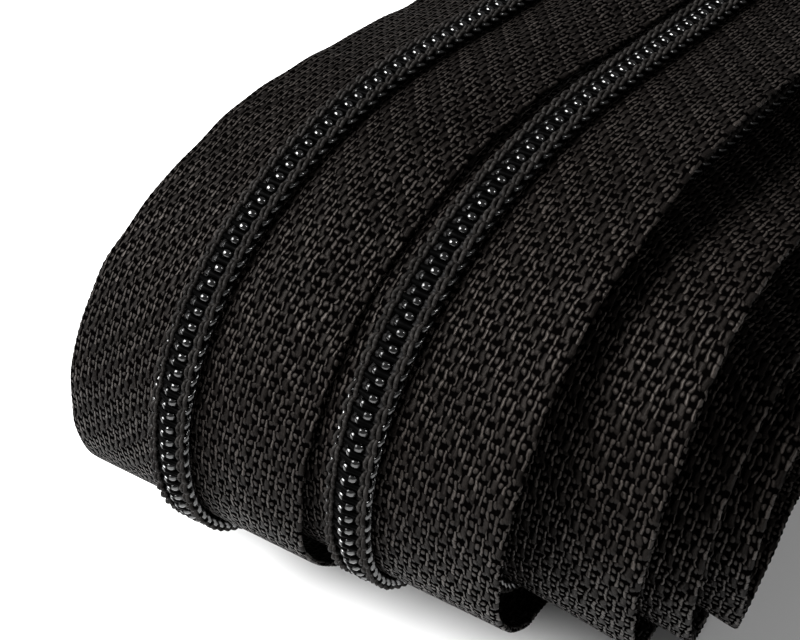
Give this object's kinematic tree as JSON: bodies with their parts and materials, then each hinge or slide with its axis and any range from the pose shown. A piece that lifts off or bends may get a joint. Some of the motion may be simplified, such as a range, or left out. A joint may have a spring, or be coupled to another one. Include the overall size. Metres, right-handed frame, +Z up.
{
  "type": "zipper",
  "caption": "Roll of nylon coil zipper chain, wound flat and stepped sideways, with an auto-lock slider on its free end.",
  "frame": {"origin": "centre of the footprint of the roll and its free end, on the surface they lie on", "axes": "+X across the strips towards the inner turns, +Y along the strips towards the open end, +Z up"},
  "size_m": [0.0902, 0.23, 0.0413],
  "materials": {
    "tape": "matte woven polyester, warm black",
    "coil": "glossy black nylon monofilament",
    "cord": "matte black filler cord",
    "thread": "twisted dark grey sewing thread, slight sheen",
    "slider_metal": "black enamel on die-cast zinc, semi-gloss",
    "lock_steel": "plain spring steel"
  },
  "bodies": {
    "chain": {"left_tape": "tape", "left_coil": "coil", "left_cord": "cord", "left_thread": "thread", "right_tape": "tape", "right_coil": "coil", "right_cord": "cord", "right_thread": "thread"},
    "left_end": {"left_tape_end": "tape", "left_coil_end": "coil", "left_cord_end": "cord", "left_thread_end": "thread"},
    "right_end": {"right_tape_end": "tape", "right_coil_end": "coil", "right_cord_end": "cord", "right_thread_end": "thread"},
    "slider": {"slider_body": "slider_metal", "slider_cap": "slider_metal", "lock_spring": "lock_steel"},
    "pawl": {"lock_pawl": "lock_steel"},
    "pull": {"pull_tab": "slider_metal"}
  },
  "joints": [
    {"name": "slider_slide", "type": "slide", "parent": "chain", "child": "slider", "axis": [0, -1, 0], "range_m": [0, 0.045], "deforming": ["left_coil", "right_coil"]},
    {"name": "pull_swing", "type": "hinge", "parent": "slider", "child": "pull", "pos_m": [-0.02299, 0.06823, 0.00505], "axis": [-1, 0, 0], "range_deg": [0, 150]},
    {"name": "pawl_lift", "type": "hinge", "parent": "slider", "child": "pawl", "pos_m": [-0.02299, 0.07048, 0.0059], "axis": [-1, 0, 0], "range_deg": [0, 6]},
    {"name": "left_end_lift", "type": "hinge", "parent": "chain", "child": "left_end", "pos_m": [-0.02699, 0.08673, 0.003], "axis": [1, 0, 0], "range_deg": [0, 150]},
    {"name": "right_end_lift", "type": "hinge", "parent": "chain", "child": "right_end", "pos_m": [-0.01899, 0.08673, 0.003], "axis": [1, 0, 0], "range_deg": [0, 150]}
  ],
  "couplings": [
    {"joint": "pawl_lift", "follows": "pull_swing", "ratio": 0.04}
  ]
}
